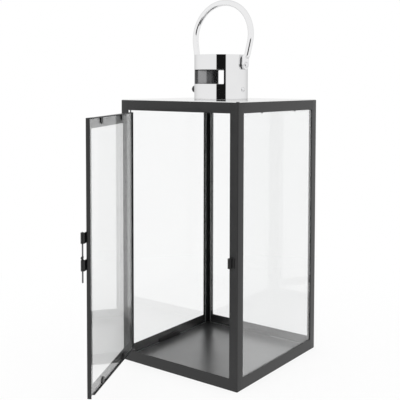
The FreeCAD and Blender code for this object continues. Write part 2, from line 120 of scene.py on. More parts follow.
def piece(name, shells, body, nodes, finish, soft=0.0):
    """One named piece made of closed shells, with soft edges, that stands for nodes of the frame."""
    points, faces = np.empty((0, 3)), []
    for spots, sides in shells:
        faces += [[corner + len(points) for corner in side] for side in sides]
        points = np.vstack([points, spots])
    mesh = bpy.data.meshes.new(name)
    mesh.from_pydata(points.tolist(), [], faces)
    skin = bmesh.new()
    skin.from_mesh(mesh)
    bmesh.ops.remove_doubles(skin, verts=skin.verts, dist=SAME)
    bmesh.ops.recalc_face_normals(skin, faces=skin.faces)
    skin.to_mesh(mesh)
    skin.free()
    mesh.shade_smooth()
    mesh.set_sharp_from_angle(angle=SHARP)
    mesh.materials.append(finish)
    whole = bpy.data.objects.new(name, mesh)
    bpy.context.scene.collection.objects.link(whole)
    if soft:
        edges = whole.modifiers.new("soft_edges", "BEVEL")
        edges.width = soft
        edges.segments = 2
        edges.limit_method = "ANGLE"
        edges.angle_limit = SHARP
        edges.harden_normals = True
    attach(whole, body)
    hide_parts(*nodes)
    return whole


def add(tree, kind, inputs=(), **settings):
    """A node in a tree, with its settings, and each input given a value or another node's output."""
    node = tree.nodes.new(kind)
    for name, value in settings.items():
        setattr(node, name, value)
    for socket, value in dict(inputs).items():
        if isinstance(value, bpy.types.NodeSocket):
            tree.links.new(value, node.inputs[socket])
        else:
            node.inputs[socket].default_value = value
    return node


def effect(name, inputs, outputs):
    """An empty effect that several finishes share: its tree, and the nodes of its inputs and outputs."""
    tree = bpy.data.node_groups.new(name, "ShaderNodeTree")
    for label, (kind, value) in inputs.items():
        tree.interface.new_socket(label, in_out="INPUT", socket_type=kind).default_value = value
    for label, kind in outputs.items():
        tree.interface.new_socket(label, in_out="OUTPUT", socket_type=kind)
    return tree, tree.nodes.new("NodeGroupInput"), tree.nodes.new("NodeGroupOutput")


def stretch(tree, value, low, high):
    """A value between 0 and 1, stretched to run from low to high."""
    return add(tree, "ShaderNodeMapRange", {0: value, 3: low, 4: high}).outputs[0]


def noise(tree, place, scale, detail):
    """Soft noise between 0 and 1: scale is its waves in a metre, detail its finer layers."""
    return add(tree, "ShaderNodeTexNoise", {"Vector": place, "Scale": scale,
                                           "Detail": detail}).outputs["Fac"]


PEEL_SCALE = 900.0
DUST_TONE = (0.12, 0.12, 0.12, 1)


def paint_effect():
    """Sprayed paint: a fine orange peel, slow clouds of shade and gloss, and a few specks of dust."""
    tree, given, made = effect(
        "sprayed_paint",
        {"Color": ("NodeSocketColor", (0, 0, 0, 1)), "Gloss Low": ("NodeSocketFloat", 0.3),
         "Gloss High": ("NodeSocketFloat", 0.4)},
        {"Color": "NodeSocketColor", "Roughness": "NodeSocketFloat", "Height": "NodeSocketFloat"})
    place = add(tree, "ShaderNodeTexCoord").outputs["Object"]
    peel = noise(tree, place, PEEL_SCALE, 2.0)
    cloud = noise(tree, place, 18.0, 3.0)
    dust = noise(tree, place, 650.0, 1.0)
    speck = add(tree, "ShaderNodeMapRange", {0: dust, 1: 0.76, 2: 0.8, 3: 0.0, 4: 0.35}).outputs[0]
    shade = stretch(tree, cloud, 0.8, 1.25)
    tone = add(tree, "ShaderNodeVectorMath", {0: given.outputs["Color"], "Scale": shade},
               operation="SCALE").outputs[0]
    dusty = add(tree, "ShaderNodeMix", {0: speck, 6: tone, 7: DUST_TONE},
                data_type="RGBA").outputs[2]
    gloss = add(tree, "ShaderNodeMapRange", {0: cloud, 1: 0.25, 2: 0.75,
                                            3: given.outputs["Gloss Low"],
                                            4: given.outputs["Gloss High"]}).outputs[0]
    for label, value in (("Color", dusty), ("Roughness", gloss), ("Height", peel)):
        tree.links.new(value, made.inputs[label])
    return tree


SPRAYED = paint_effect()


def painted(name, color, gloss, peel_depth, coat):
    """Black sprayed paint on steel: colour and gloss drift a little, and the skin has an orange peel."""
    finish = bpy.data.materials.new(name)
    finish.use_nodes = True
    tree = finish.node_tree
    shader = tree.nodes["Principled BSDF"]
    spray = add(tree, "ShaderNodeGroup", node_tree=SPRAYED)
    spray.inputs["Color"].default_value = (*color, 1)
    spray.inputs["Gloss Low"].default_value, spray.inputs["Gloss High"].default_value = gloss
    bump = add(tree, "ShaderNodeBump", {"Height": spray.outputs["Height"], "Strength": 0.12,
                                       "Distance": peel_depth})
    tree.links.new(spray.outputs["Color"], shader.inputs["Base Color"])
    tree.links.new(spray.outputs["Roughness"], shader.inputs["Roughness"])
    tree.links.new(bump.outputs["Normal"], shader.inputs["Normal"])
    shader.inputs["Coat Weight"].default_value = coat
    shader.inputs["Coat Roughness"].default_value = gloss[0]
    return finish


BLACK_BASE = painted("satin_black_base", (0.018, 0.018, 0.0185), (0.27, 0.34), 0.03 * MM, coat=0.95)
PLATE_CORNER = 1.5 * MM

plate_low, plate_high = corners("base_plate")
plate_outline = rounded(oblong(plate_low, plate_high), PLATE_CORNER)
piece("floor_plate", [capped(carried(plate_outline, Z, plate_low[Z], plate_high[Z]))],
      "lantern", ["base_plate"], BLACK_BASE, soft=0.3 * MM)


# ---- corner posts ----
# Four upright angles of 1 mm steel sheet, folded lengthwise to a right angle with a small bend
# radius, cut off square, and painted satin black like all of the frame.

BLACK_FRAME = painted("satin_black_frame", (0.007, 0.007, 0.0073), (0.3, 0.38), 0.03 * MM, coat=0.0)
BEND = 1.2 * MM                # outside radius of a fold
CUT = 0.16 * MM                # softness of a cut edge under the paint
CORNERS = ("front_left", "front_right", "back_right", "back_left")
SIDES = ("front", "right", "back", "left")

strip_low, strip_high = corners("bottom_rail_front")
SHEET = strip_high[Y] - strip_low[Y]


def folded(outer, long, wide, sheet, bend):
    """Section of a folded angle: two legs of one sheet from the outer corner, long and wide being the
    legs with their signs. The fold is round by bend outside, and inside by what the sheet leaves."""
    thick, deep = np.copysign(sheet, (long, wide))
    section = [(0, 0), (long, 0), (long, deep), (thick, deep), (thick, wide), (0, wide)]
    radii = (bend, 0, 0, max(bend - sheet, 0.1 * sheet), 0, 0)
    return rounded(np.array(section) + outer, radii)


def quarter(points, turns):
    """Points of the front, turned by quarters about the middle: to the right, the back or the left."""
    for _ in range(turns):
        points = np.stack([-points[..., Y], points[..., X], points[..., Z]], axis=-1)
    return points


post_low, post_high = corners("post_front_left")
LEG = post_high[X] - post_low[X]
post_section = folded(post_low[:2], LEG, LEG, SHEET, BEND)
post_rings = carried(post_section, Z, post_low[Z], post_high[Z])
for turns, corner in enumerate(CORNERS):
    piece(f"corner_angle_{corner}", [capped(quarter(post_rings, turns))], "lantern",
          [f"post_{corner}"], BLACK_FRAME, soft=CUT)


# ---- bottom rails ----
# Four flat strips of the same sheet on edge, welded between the posts and against the base plate.
# The welds are ground flush, so only a hairline shows where a strip ends at a post.

HAIRLINE = 0.5 * MM            # half of the groove between two butted ends

strip_section = rounded(oblong(strip_low[[X, Z]], strip_high[[X, Z]]), 0.2 * MM)
strip_rings = carried(strip_section, Y, strip_low[Y], strip_high[Y])
for turns, side in enumerate(SIDES):
    piece(f"foot_strip_{side}", [capped(quarter(strip_rings, turns))], "lantern",
          [f"bottom_rail_{side}"], BLACK_FRAME, soft=HAIRLINE)


# ---- top rails ----
# Four folded angles between the posts: one leg hangs in line with the posts' outside, and the
# other is turned in under the roof, which is welded down to it.

rail_low, rail_high = corners("top_rail_front")
rail_section = folded((rail_low[Y], rail_high[Z]), rail_high[Y] - rail_low[Y],
                      rail_low[Z] - rail_high[Z], SHEET, BEND)
rail_rings = carried(rail_section, X, rail_low[X], rail_high[X])
for turns, side in enumerate(SIDES):
    piece(f"head_angle_{side}", [capped(quarter(rail_rings, turns))], "lantern",
          [f"top_rail_{side}"], BLACK_FRAME, soft=HAIRLINE)


# ---- fixed panes ----
# Three sheets of 3 mm clear float glass with ground edges. Each stands on the base plate behind the
# posts' legs, is held at its foot by an upstand and at its head by two pointed clips.

GROUND = 0.4 * MM              # bevel ground along a pane's edges
PANE_CORNER = 1.0 * MM
FLOAT_GLASS_IOR = 1.52


def glass(name, tint, roughness=0.0, ripple=0.0, sheen=0.0):
    """Clear glass with a faint ripple, and with a soft sheen in place of part of its sharp mirror.
    Light that only passes on its way to a surface goes straight through, dimmed by the tint, so that
    a pane casts no dark shadow."""
    finish = bpy.data.materials.new(name)
    finish.use_nodes = True
    tree = finish.node_tree
    shader = tree.nodes["Principled BSDF"]
    place = add(tree, "ShaderNodeTexCoord").outputs["Object"]
    haze = noise(tree, place, 9.0, 4.0)
    clearer = [min(1, share * 1.02) for share in tint]
    tone = add(tree, "ShaderNodeMix", {0: haze, 6: (*tint, 1), 7: (*clearer, 1)},
               data_type="RGBA").outputs[2]
    wave = noise(tree, place, 7.0, 0.0)
    bump = add(tree, "ShaderNodeBump", {"Height": wave, "Strength": 1.0, "Distance": ripple})
    tree.links.new(tone, shader.inputs["Base Color"])
    tree.links.new(bump.outputs["Normal"], shader.inputs["Normal"])
    shader.inputs["Roughness"].default_value = roughness
    shader.inputs["IOR"].default_value = FLOAT_GLASS_IOR
    shader.inputs["Transmission Weight"].default_value = 1.0
    shader.inputs["Specular IOR Level"].default_value = 0.5 - 0.3 * sheen
    shader.inputs["Coat Weight"].default_value = sheen
    shader.inputs["Coat Roughness"].default_value = 0.4
    path = add(tree, "ShaderNodeLightPath")
    passing = add(tree, "ShaderNodeMath", {0: path.outputs["Is Shadow Ray"],
                                          1: path.outputs["Is Diffuse Ray"]}, operation="MAXIMUM")
    clear = add(tree, "ShaderNodeBsdfTransparent", {"Color": (*tint, 1)})
    blend = add(tree, "ShaderNodeMixShader", {0: passing.outputs[0], 1: shader.outputs[0],
                                             2: clear.outputs[0]})
    tree.links.new(blend.outputs[0], tree.nodes["Material Output"].inputs["Surface"])
    return finish


PANE_FACE = glass("pane_glass", (0.93, 0.935, 0.935), ripple=0.02 * MM)
BRIGHT_FACE = glass("bright_pane_glass", (0.93, 0.935, 0.935), ripple=0.02 * MM, sheen=1.0)
PANE_EDGE = glass("pane_ground_edge", (0.62, 0.72, 0.69), roughness=0.35)


def pane(name, rings, through, body, node, face=PANE_FACE):
    """A sheet of glass. The narrow sides round it, not square to its thickness, have a ground finish."""
    sheet = piece(name, [capped(rings)], body, [node], face, soft=GROUND)
    sheet.data.materials.append(PANE_EDGE)
    normals = np.empty(len(sheet.data.polygons) * 3, np.float32)
    sheet.data.polygons.foreach_get("normal", normals)
    side = np.abs(normals.reshape(-1, 3) @ np.array(through, np.float32)) < 0.5
    sheet.data.polygons.foreach_set("material_index", side.astype(np.int32))
    sheet.modifiers["soft_edges"].material = 1
    return sheet


pane_low, pane_high = corners("glass_back")
pane_outline = rounded(oblong(pane_low[[X, Z]], pane_high[[X, Z]]), PANE_CORNER)
pane_rings = carried(pane_outline, Y, -pane_high[Y], -pane_low[Y])
for turns, side in enumerate(SIDES):
    if side != "front":
        through = quarter(np.array([0.0, 1.0, 0.0]), turns)
        pane(f"pane_{side}", quarter(pane_rings, turns), through, "lantern", f"glass_{side}",
             BRIGHT_FACE if side == "right" else PANE_FACE)


# ---- upstands at the foot of the panes ----
# A short strip of sheet on edge in the middle of each side, welded to the base plate, which keeps
# the foot of the pane against the rail. Its two top corners are cut round.

UPSTAND_CORNER = 1.6 * MM

stop_low, stop_high = corners("pane_stop_back")
stop_outline = rounded(oblong(stop_low[[X, Z]], stop_high[[X, Z]]),
                       (0.2 * MM, 0.2 * MM, UPSTAND_CORNER, UPSTAND_CORNER))
stop_rings = carried(stop_outline, Y, -stop_high[Y], -stop_low[Y])
for turns, side in enumerate(SIDES):
    if side != "front":
        piece(f"upstand_{side}", [capped(quarter(stop_rings, turns))], "lantern",
              [f"pane_stop_{side}"], BLACK_FRAME, soft=CUT)


# ---- clips at the head of the panes ----
# Two strips of sheet over each pane, welded under the top rail's flange. They hang down inside the
# glass and end in a short point, whose tip just shows under the rail.

CLIP_WIDE = 9.0 * MM
CLIP_POINT = 3.0 * MM
TIP_ROUND = 0.7 * MM


def pointed(middle, foot, tip, wide):
    """Outline of a clip: a strip that is square at its foot and comes to a blunt point at its tip."""
    shoulder = tip - np.copysign(CLIP_POINT, tip - foot)
    spots = [(-wide / 2, foot), (wide / 2, foot), (wide / 2, shoulder), (0, tip), (-wide / 2, shoulder)]
    radii = (0.1 * MM, 0.1 * MM, 0.4 * MM, TIP_ROUND, 0.4 * MM)
    return rounded(np.array(spots) + (middle, 0), radii)


clip_low, clip_high = corners("pane_clips_back")
clip_middles = (clip_low[X] + CLIP_WIDE / 2, clip_high[X] - CLIP_WIDE / 2)
for turns, side in enumerate(SIDES):
    if side != "front":
        strips = [carried(pointed(middle, clip_high[Z], clip_low[Z], CLIP_WIDE), Y,
                          -clip_high[Y], -clip_low[Y]) for middle in clip_middles]
        piece(f"clips_over_pane_{side}", [capped(quarter(strip, turns)) for strip in strips], "lantern",
              [f"pane_clips_{side}"], BLACK_FRAME, soft=CUT)


# ---- clip at the edge of the back pane ----
# A small block of folded sheet, welded into the right back post, whose lip reaches round the pane's
# edge to its inside.

EDGE_CLIP_LIP = SHEET
PANE_PLAY = 0.1 * MM

hook_low, hook_high = corners("pane_edge_clip")
pane_edge = pane_high[X] + PANE_PLAY
lip_back = hook_low[Y] + EDGE_CLIP_LIP
hook = [(hook_high[X], hook_high[Y]), (pane_edge, hook_high[Y]), (pane_edge, lip_back),
        (hook_low[X], lip_back), (hook_low[X], hook_low[Y]), (hook_high[X], hook_low[Y])]
hook_section = rounded(hook, (0.1 * MM, 0.1 * MM, 0.1 * MM, 0.3 * MM, 0.3 * MM, 1.0 * MM))
piece("edge_clip_back", [capped(carried(hook_section, Z, hook_low[Z], hook_high[Z]))], "lantern",
      ["pane_edge_clip"], BLACK_FRAME, soft=CUT)


# ---- roof plate ----
# A square of polished steel sheet over the whole frame, with a round hole in its middle for the
# neck of the chimney. Its edges are broken so that they don't cut.


def polish_effect():
    """Polished steel: hair lines left by the buffing wheel, drawn out along X or Z, and faint wiping
    marks that change the gloss."""
    tree, given, made = effect(
        "buffed_steel",
        {"Line Stretch": ("NodeSocketVector", (30.0, 30.0, 1500.0)),
         "Gloss Low": ("NodeSocketFloat", 0.02), "Gloss High": ("NodeSocketFloat", 0.07),
         "Color": ("NodeSocketColor", (0.9, 0.9, 0.9, 1))},
        {"Color": "NodeSocketColor", "Roughness": "NodeSocketFloat", "Height": "NodeSocketFloat"})
    place = add(tree, "ShaderNodeTexCoord").outputs["Object"]
    drawn = add(tree, "ShaderNodeVectorMath", {0: place, 1: given.outputs["Line Stretch"]},
                operation="MULTIPLY").outputs[0]
    lines = noise(tree, drawn, 1.0, 3.0)
    wiped = noise(tree, place, 35.0, 4.0)
    gloss = add(tree, "ShaderNodeMapRange", {0: wiped, 1: 0.35, 2: 0.75, 3: given.outputs["Gloss Low"],
                                            4: given.outputs["Gloss High"]}).outputs[0]
    tone = add(tree, "ShaderNodeVectorMath", {0: given.outputs["Color"],
                                             "Scale": stretch(tree, wiped, 1.02, 0.97)},
               operation="SCALE").outputs[0]
    for label, value in (("Color", tone), ("Roughness", gloss), ("Height", lines)):
        tree.links.new(value, made.inputs[label])
    return tree


BUFFED = polish_effect()
EDGE_TONE = 0.68               # polished steel mirrors less at a glancing angle than bright silver


def polished(name, color, gloss, stretch_by, line_depth):
    """Polished steel with the marks of its polishing drawn out one way."""
    finish = bpy.data.materials.new(name)
    finish.use_nodes = True
    tree = finish.node_tree
    shader = tree.nodes["Principled BSDF"]
    buffed = add(tree, "ShaderNodeGroup", node_tree=BUFFED)
    buffed.inputs["Color"].default_value = (*color, 1)
    buffed.inputs["Line Stretch"].default_value = stretch_by
    buffed.inputs["Gloss Low"].default_value, buffed.inputs["Gloss High"].default_value = gloss
    bump = add(tree, "ShaderNodeBump", {"Height": buffed.outputs["Height"], "Strength": 0.15,
                                       "Distance": line_depth})
    tree.links.new(buffed.outputs["Color"], shader.inputs["Base Color"])
    tree.links.new(buffed.outputs["Roughness"], shader.inputs["Roughness"])
    tree.links.new(bump.outputs["Normal"], shader.inputs["Normal"])
    shader.inputs["Metallic"].default_value = 1.0
    shader.inputs["Specular Tint"].default_value = (*[EDGE_TONE] * 3, 1)
    return finish


ROOF_STEEL = polished("polished_roof_steel", (0.9, 0.9, 0.9), (0.03, 0.07), (12, 900, 900), 0.002 * MM)
ROOF_CORNER = 1.6 * MM
ROUND_STEPS = 192
COLLAR_WALL = 1.2 * MM
NECK_PLAY = 0.1 * MM           # to the collar round it, and to the roof

roof_low, roof_high = corners("roof_plate")
neck_low, neck_high = corners("vent_neck")
COLLAR_RADIUS = corners("collar")[1][X]
NECK_RADIUS = COLLAR_RADIUS - COLLAR_WALL - NECK_PLAY
VENT = NECK_RADIUS + NECK_PLAY


def square_at(angle, half, corner):
    """Point of a square with round corners in the direction of an angle: the square's own distance
    is half / max(|cos|, |sin|), and in a corner the distance to the corner's arc takes its place."""
    c, s = np.abs(np.cos(angle)), np.abs(np.sin(angle))
    straight = half / np.maximum(c, s)
    inner = half - corner
    along = inner * (c + s)
    arc = along + np.sqrt(np.maximum(along ** 2 - 2 * inner ** 2 + corner ** 2, 0))
    in_corner = np.minimum(straight * c, straight * s) > inner
    distance = np.where(in_corner, arc, straight)
    return np.stack([distance * np.cos(angle), distance * np.sin(angle)], axis=-1)


angles = np.linspace(0, 2 * pi, ROUND_STEPS, endpoint=False) + pi / ROUND_STEPS
roof_edge = square_at(angles, roof_high[X], ROOF_CORNER)
roof_hole = VENT * np.stack([np.cos(angles), np.sin(angles)], axis=-1)
roof_rings = np.stack([np.insert(line, Z, level, axis=1) for line, level in (
    (roof_hole, roof_low[Z]), (roof_edge, roof_low[Z]),
    (roof_edge, roof_high[Z]), (roof_hole, roof_high[Z]))])
piece("roof_sheet", [looped(roof_rings)], "lantern", ["roof_plate"], ROOF_STEEL,
      soft=0.25 * MM)


# ---- neck through the roof ----
# A short tube of plain steel with a flange, pushed up through the roof from below. It carries the
# collar, and the bolt goes through it.

PLAIN_STEEL = polished("plain_steel", (0.55, 0.55, 0.56), (0.25, 0.4), (40, 40, 1200), 0.004 * MM)
NECK_WALL = 1.0 * MM


def turned(profile, steps, centre=(0.0, 0.0), along=Z):
    """Rings of a turned piece: a profile of (radius, height) points carried round an axis. Each ring
    is the profile at one angle, at centre + radius * (cos, sin) across and height along the axis."""
    radius, height = np.asarray(profile, float).T
    angle = np.linspace(0, 2 * pi, steps, endpoint=False)[:, None]
    across = np.stack([centre[0] + radius * np.cos(angle), centre[1] + radius * np.sin(angle)])
    return np.stack(np.insert(list(across), along, np.broadcast_to(height, across[0].shape), axis=0),
                    axis=-1)


flange_high = neck_low[Z] + SHEET
neck_profile = rounded([(NECK_RADIUS - NECK_WALL, neck_low[Z]), (neck_high[X], neck_low[Z]),
                        (neck_high[X], flange_high), (NECK_RADIUS, flange_high),
                        (NECK_RADIUS, neck_high[Z]), (NECK_RADIUS - NECK_WALL, neck_high[Z])],
                       (0.5 * MM, 0.2 * MM, 0.2 * MM, 0.1 * MM, 0.3 * MM, 0.3 * MM), steps=3)
piece("vent_tube", [looped(turned(neck_profile, 128))], "lantern", ["vent_neck"],
      PLAIN_STEEL)


# ---- chimney collar ----
# A polished steel tube that stands on the roof over the neck, open at the top. Two wide windows with
# round corners, one in front and one behind, let the draught through.

COLLAR_STEEL = polished("polished_collar_steel", (0.8, 0.8, 0.805), (0.02, 0.05), (40, 40, 900),
                        0.001 * MM)
# The inside of the tube is the same polished steel, given a far darker colour than the outside: painted
# shade for the inside of the collar.
COLLAR_INSIDE_SHADE = polished("collar_inside_shaded_steel", (0.3, 0.3, 0.305), (0.12, 0.2), (40, 40, 900),
                         0.002 * MM)
WINDOW_WIDE = 58.0 * MM
WINDOW_LOW = 25.0 * MM         # above the roof
WINDOW_TALL = 22.8 * MM
WINDOW_CORNER = 0.8 * MM


def pierced_wall(outer, inner, kept):
    """A closed shell between two grids of points (row, column, xyz) that go round in a loop. A cell of
    the grids is wall where kept is true. A rim joins the grids wherever wall borders on no wall."""
    rows, columns = outer.shape[:2]
    number = np.arange(rows * columns).reshape(rows, columns)
    beside = np.roll(number, -1, axis=1)
    back = number.size
    face = np.stack([number[:-1], beside[:-1], beside[1:], number[1:]], axis=2)[kept]
    over = np.pad(kept, ((1, 1), (0, 0)))
    level = over[1:] != over[:-1]
    level_rim = np.stack([number, beside, beside + back, number + back], axis=2)[level]
    upright = kept != np.roll(kept, 1, axis=1)
    upright_rim = np.stack([number[:-1], number[1:], number[1:] + back, number[:-1] + back],
                           axis=2)[upright]
    faces = np.vstack([face, face[:, ::-1] + back, level_rim, upright_rim])
    return np.vstack([outer.reshape(-1, 3), inner.reshape(-1, 3)]), faces.tolist()


collar_low, collar_high = corners("collar")
flat_x = np.linspace(-1, 1, 25) * (WINDOW_WIDE / 2 - WINDOW_CORNER)
corner_turn = np.linspace(0, pi / 2, 7)[1:]
corner_x = WINDOW_WIDE / 2 - WINDOW_CORNER + WINDOW_CORNER * np.sin(corner_turn)
corner_rise = WINDOW_CORNER * (1 - np.cos(corner_turn))
window_x = np.concatenate([-corner_x[::-1], flat_x, corner_x])
window_rise = np.concatenate([corner_rise[::-1], 0 * flat_x, corner_rise])


def collar_grid(radius):
    """One face of the tube as rows of points. Columns go round from the front: across a window they
    are spaced by its width, and between the windows evenly by angle. The rows are the foot, the
    window's sill, its head and the top. The sill rises and the head falls at the window's corners."""
    front = np.arcsin(window_x / radius)
    side = np.linspace(front[-1], pi - front[-1], 50)[1:-1]
    angle = np.concatenate([front, side, front + pi, side + pi])
    rise = np.concatenate([window_rise, 0 * side + WINDOW_CORNER] * 2)
    sill = collar_low[Z] + WINDOW_LOW
    head = sill + WINDOW_TALL
    height = np.stack([0 * rise + collar_low[Z], sill + rise, head - rise, 0 * rise + collar_high[Z]])
    x, y = radius * np.sin(angle), -radius * np.cos(angle)
    return np.stack([np.broadcast_to(x, height.shape), np.broadcast_to(y, height.shape), height],
                    axis=-1)


collar_outer, collar_inner = collar_grid(COLLAR_RADIUS), collar_grid(COLLAR_RADIUS - COLLAR_WALL)
collar_kept = np.ones((3, collar_outer.shape[1]), bool)
half_round = collar_outer.shape[1] // 2
for start in (0, half_round):
    collar_kept[1, start:start + len(window_x) - 1] = False
collar = piece("chimney_collar", [pierced_wall(collar_outer, collar_inner, collar_kept)], "lantern",
               ["collar"], COLLAR_STEEL, soft=0.2 * MM)
# The faces that look inward take the darker finish, which paints the shade inside the tube.
collar.data.materials.append(COLLAR_INSIDE_SHADE)
for side in collar.data.polygons:
    outward = side.center[X] * side.normal[X] + side.center[Y] * side.normal[Y]
    side.material_index = int(outward < -COLLAR_RADIUS / 2)


# ---- bolt through the collar ----
# One steel bolt goes through the collar and the neck from the right. Its round dome head lies on
# the collar, and its thread ends in the cap nut on the left.

FASTENER_STEEL = polished("fastener_steel", (0.78, 0.78, 0.79), (0.06, 0.14), (60, 60, 60), 0.001 * MM)
BOLT_RADIUS = 3.0 * MM
BOLT_HEAD = 4.35 * MM
DOME_STEPS = 12


def dome(rim, rise, base, steps=DOME_STEPS):
    """Profile of a flat dome: the arc through the rim and through the top, a rise over the base. The
    arc's radius is (rim^2 + rise^2) / (2 rise)."""
    ball = (rim ** 2 + rise ** 2) / (2 * rise)
    widest = np.arcsin(min(rim / ball, 1.0))
    angle = np.linspace(widest, 0, steps)
    return np.stack([ball * np.sin(angle), base + rise - ball + ball * np.cos(angle)], axis=-1)


bolt_low, bolt_high = corners("cross_bolt")
bolt_line = (bolt_low + bolt_high)[[Y, Z]] / 2
bolt_profile = np.vstack([[(0, bolt_low[X]), (BOLT_RADIUS, bolt_low[X]), (BOLT_RADIUS, COLLAR_RADIUS),
                           (BOLT_HEAD, COLLAR_RADIUS)],
                          dome(BOLT_HEAD, bolt_high[X] - COLLAR_RADIUS, COLLAR_RADIUS)])
piece("through_bolt", [looped(turned(bolt_profile, 48, bolt_line, X))], "lantern", ["cross_bolt"],
      FASTENER_STEEL)


# ---- cap nut ----
# A black cap nut on the bolt's end, left of the collar: a hexagon with its corners turned off at
# both ends, a short neck and a ball cap.

NUT_BLACK = painted("black_nut", (0.01, 0.01, 0.0105), (0.12, 0.18), 0.01 * MM, coat=0.3)
NUT_FLATS = 13.0 * MM
NUT_HEX = 7.0 * MM
NUT_NECK = 2.4 * MM
NUT_STEPS = 72
NUT_CHAMFER = 0.96             # radius of the hexagon's turned-off ends, as a share of its inner one

nut_low, nut_high = corners("cap_nut")
NUT_DOME = nut_high[X] - NUT_HEX - NUT_NECK - nut_low[X]
nut_angle = np.linspace(0, 2 * pi, NUT_STEPS, endpoint=False)
nut_hexagon = NUT_FLATS / 2 / np.cos((nut_angle + pi / 6) % (pi / 3) - pi / 6)
hex_in = np.array([0, 0.12, 0.3, 0.6, 1.0, 6.0, 6.4, 6.7, 6.88, 7.0]) * MM     # from the collar
hex_cone = NUT_FLATS / 2 * NUT_CHAMFER + sqrt(3) * np.minimum(hex_in, NUT_HEX - hex_in)
hex_rings = np.minimum(nut_hexagon, hex_cone[:, None])
cap_turn = np.linspace(0, pi / 2, 14)
cap_foot = NUT_HEX + NUT_NECK
cap_in = np.concatenate([[NUT_HEX, cap_foot], cap_foot + NUT_DOME * np.sin(cap_turn)])
cap_radius = np.concatenate([[NUT_DOME, NUT_DOME], NUT_DOME * np.cos(cap_turn)])
nut_in = np.concatenate([hex_in, cap_in])
nut_radius = np.vstack([hex_rings, np.broadcast_to(cap_radius[:, None], (len(cap_radius), NUT_STEPS))])
nut_rings = np.stack([np.broadcast_to(nut_high[X] - nut_in[:, None], nut_radius.shape),
                      bolt_line[0] + nut_radius * np.sin(nut_angle),
                      bolt_line[1] + nut_radius * np.cos(nut_angle)], axis=-1)
piece("acorn_nut", [capped(nut_rings)], "lantern", ["cap_nut"], NUT_BLACK, soft=0.12 * MM)


# ---- handle ----
# One polished steel rod bent to a loop. Both ends are forged flat, rounded off and drilled, and turn
# on a rivet through the collar's side. It leans back a little.

HANDLE_STEEL = polished("polished_handle_steel", (0.84, 0.84, 0.845), (0.03, 0.08), (300, 300, 60),
                        0.002 * MM)
ROD = 9.5 * MM
TAB_THICK = 5.0 * MM
TAB_WIDE = 15.5 * MM
TAB_OUT = 47.4 * MM            # middle of the flat end, from the lantern's middle
FOOT_OUT = 47.5 * MM           # the rod's own line at the height of the axis
LOOP_RADIUS = 55.6 * MM
LOOP_UP = 46.2 * MM            # bend's centre over the axis
FLAT_TOP = 10.0 * MM           # forging starts here, over the axis
ROUND_FROM = 16.5 * MM         # and here the rod is round again
LEAN = radians(4.5)

SWING = next(joint for joint in frame["joints"] if joint["name"] == "handle_swing")
SWING_HIGH = SWING["pos_m"][Z]
loop_slope = pi - np.arctan2(LOOP_UP, FOOT_OUT) - np.arcsin(LOOP_RADIUS / np.hypot(FOOT_OUT, LOOP_UP))
straight_long = sqrt(FOOT_OUT ** 2 + LOOP_UP ** 2 - LOOP_RADIUS ** 2)


def handle_line():
    """Half of the rod's line from the flat end's tip to the top of the loop, as (out, up) points. Up
    to the bend, out passes smoothly from the flat end's upright line to the rod's sloping one."""
    tip = -TAB_WIDE / 2 * np.cos(np.linspace(0, pi / 2, 12)[:-1])
    up = np.concatenate([tip, np.linspace(0, straight_long * sin(loop_slope), 30)])
    share = np.clip((up - FLAT_TOP) / (ROUND_FROM - FLAT_TOP), 0, 1)
    share = share ** 2 * (3 - 2 * share)
    out = (1 - share) * TAB_OUT + share * (FOOT_OUT + up / np.tan(loop_slope))
    bend = np.linspace(loop_slope - pi / 2, pi / 2, 60)[1:]
    bend_out = LOOP_RADIUS * np.cos(bend)
    bend_up = LOOP_UP + LOOP_RADIUS * np.sin(bend)
    round_share = np.concatenate([share, 0 * bend + 1])
    return np.concatenate([out, bend_out]), np.concatenate([up, bend_up]), round_share


def handle_rings():
    """Rings along the whole rod. A ring is the curve |across / a|^p + |thick / b|^p = 1: a flat tab has
    a = half its width, b = half its thickness and p = 5, the round rod a = b and p = 2. At the tip
    a follows the tab's round end."""
    out, up, round_share = handle_line()
    half_wide = TAB_WIDE / 2 + (ROD - TAB_WIDE) / 2 * round_share
    half_wide = np.where(up < 0, np.sqrt(np.maximum((TAB_WIDE / 2) ** 2 - up ** 2, 0)), half_wide)
    half_thick = TAB_THICK / 2 + (ROD - TAB_THICK) / 2 * round_share
    power = 2 / (5 - 3 * round_share)
    out = np.concatenate([out, -out[-2::-1]])
    up, half_wide, half_thick, power = (np.concatenate([row, row[-2::-1]]) for row in
                                        (up, half_wide, half_thick, power))
    run = np.gradient(np.stack([out, up], axis=1), axis=0)
    run /= np.linalg.norm(run, axis=1, keepdims=True)
    angle = np.linspace(0, 2 * pi, 40, endpoint=False)
    c, s = np.cos(angle), np.sin(angle)
    across = half_wide[:, None] * np.sign(c) * np.abs(c) ** power[:, None]
    thick = half_thick[:, None] * np.sign(s) * np.abs(s) ** power[:, None]
    return np.stack([out[:, None] + run[:, 1:] * thick, across, up[:, None] - run[:, :1] * thick],
                    axis=-1)


rings = handle_rings()
rings = np.stack([rings[..., X], rings[..., Y] * cos(LEAN) + rings[..., Z] * sin(LEAN),
                  rings[..., Z] * cos(LEAN) - rings[..., Y] * sin(LEAN) + SWING_HIGH], axis=-1)
piece("bent_handle", [capped(rings)], "bail_handle", ["handle"], HANDLE_STEEL,
      soft=0.2 * MM)


# ---- handle rivets ----
# A steel rivet through each flat end and the collar's wall: a dome head outside, and a flat head,
# set with a hammer, inside the tube.

RIVET_HEAD = 4.6 * MM
RIVET_RISE = 2.7 * MM
RIVET_STEM = 2.5 * MM
RIVET_BACK = 4.0 * MM
RIVET_BACK_TALL = 1.6 * MM

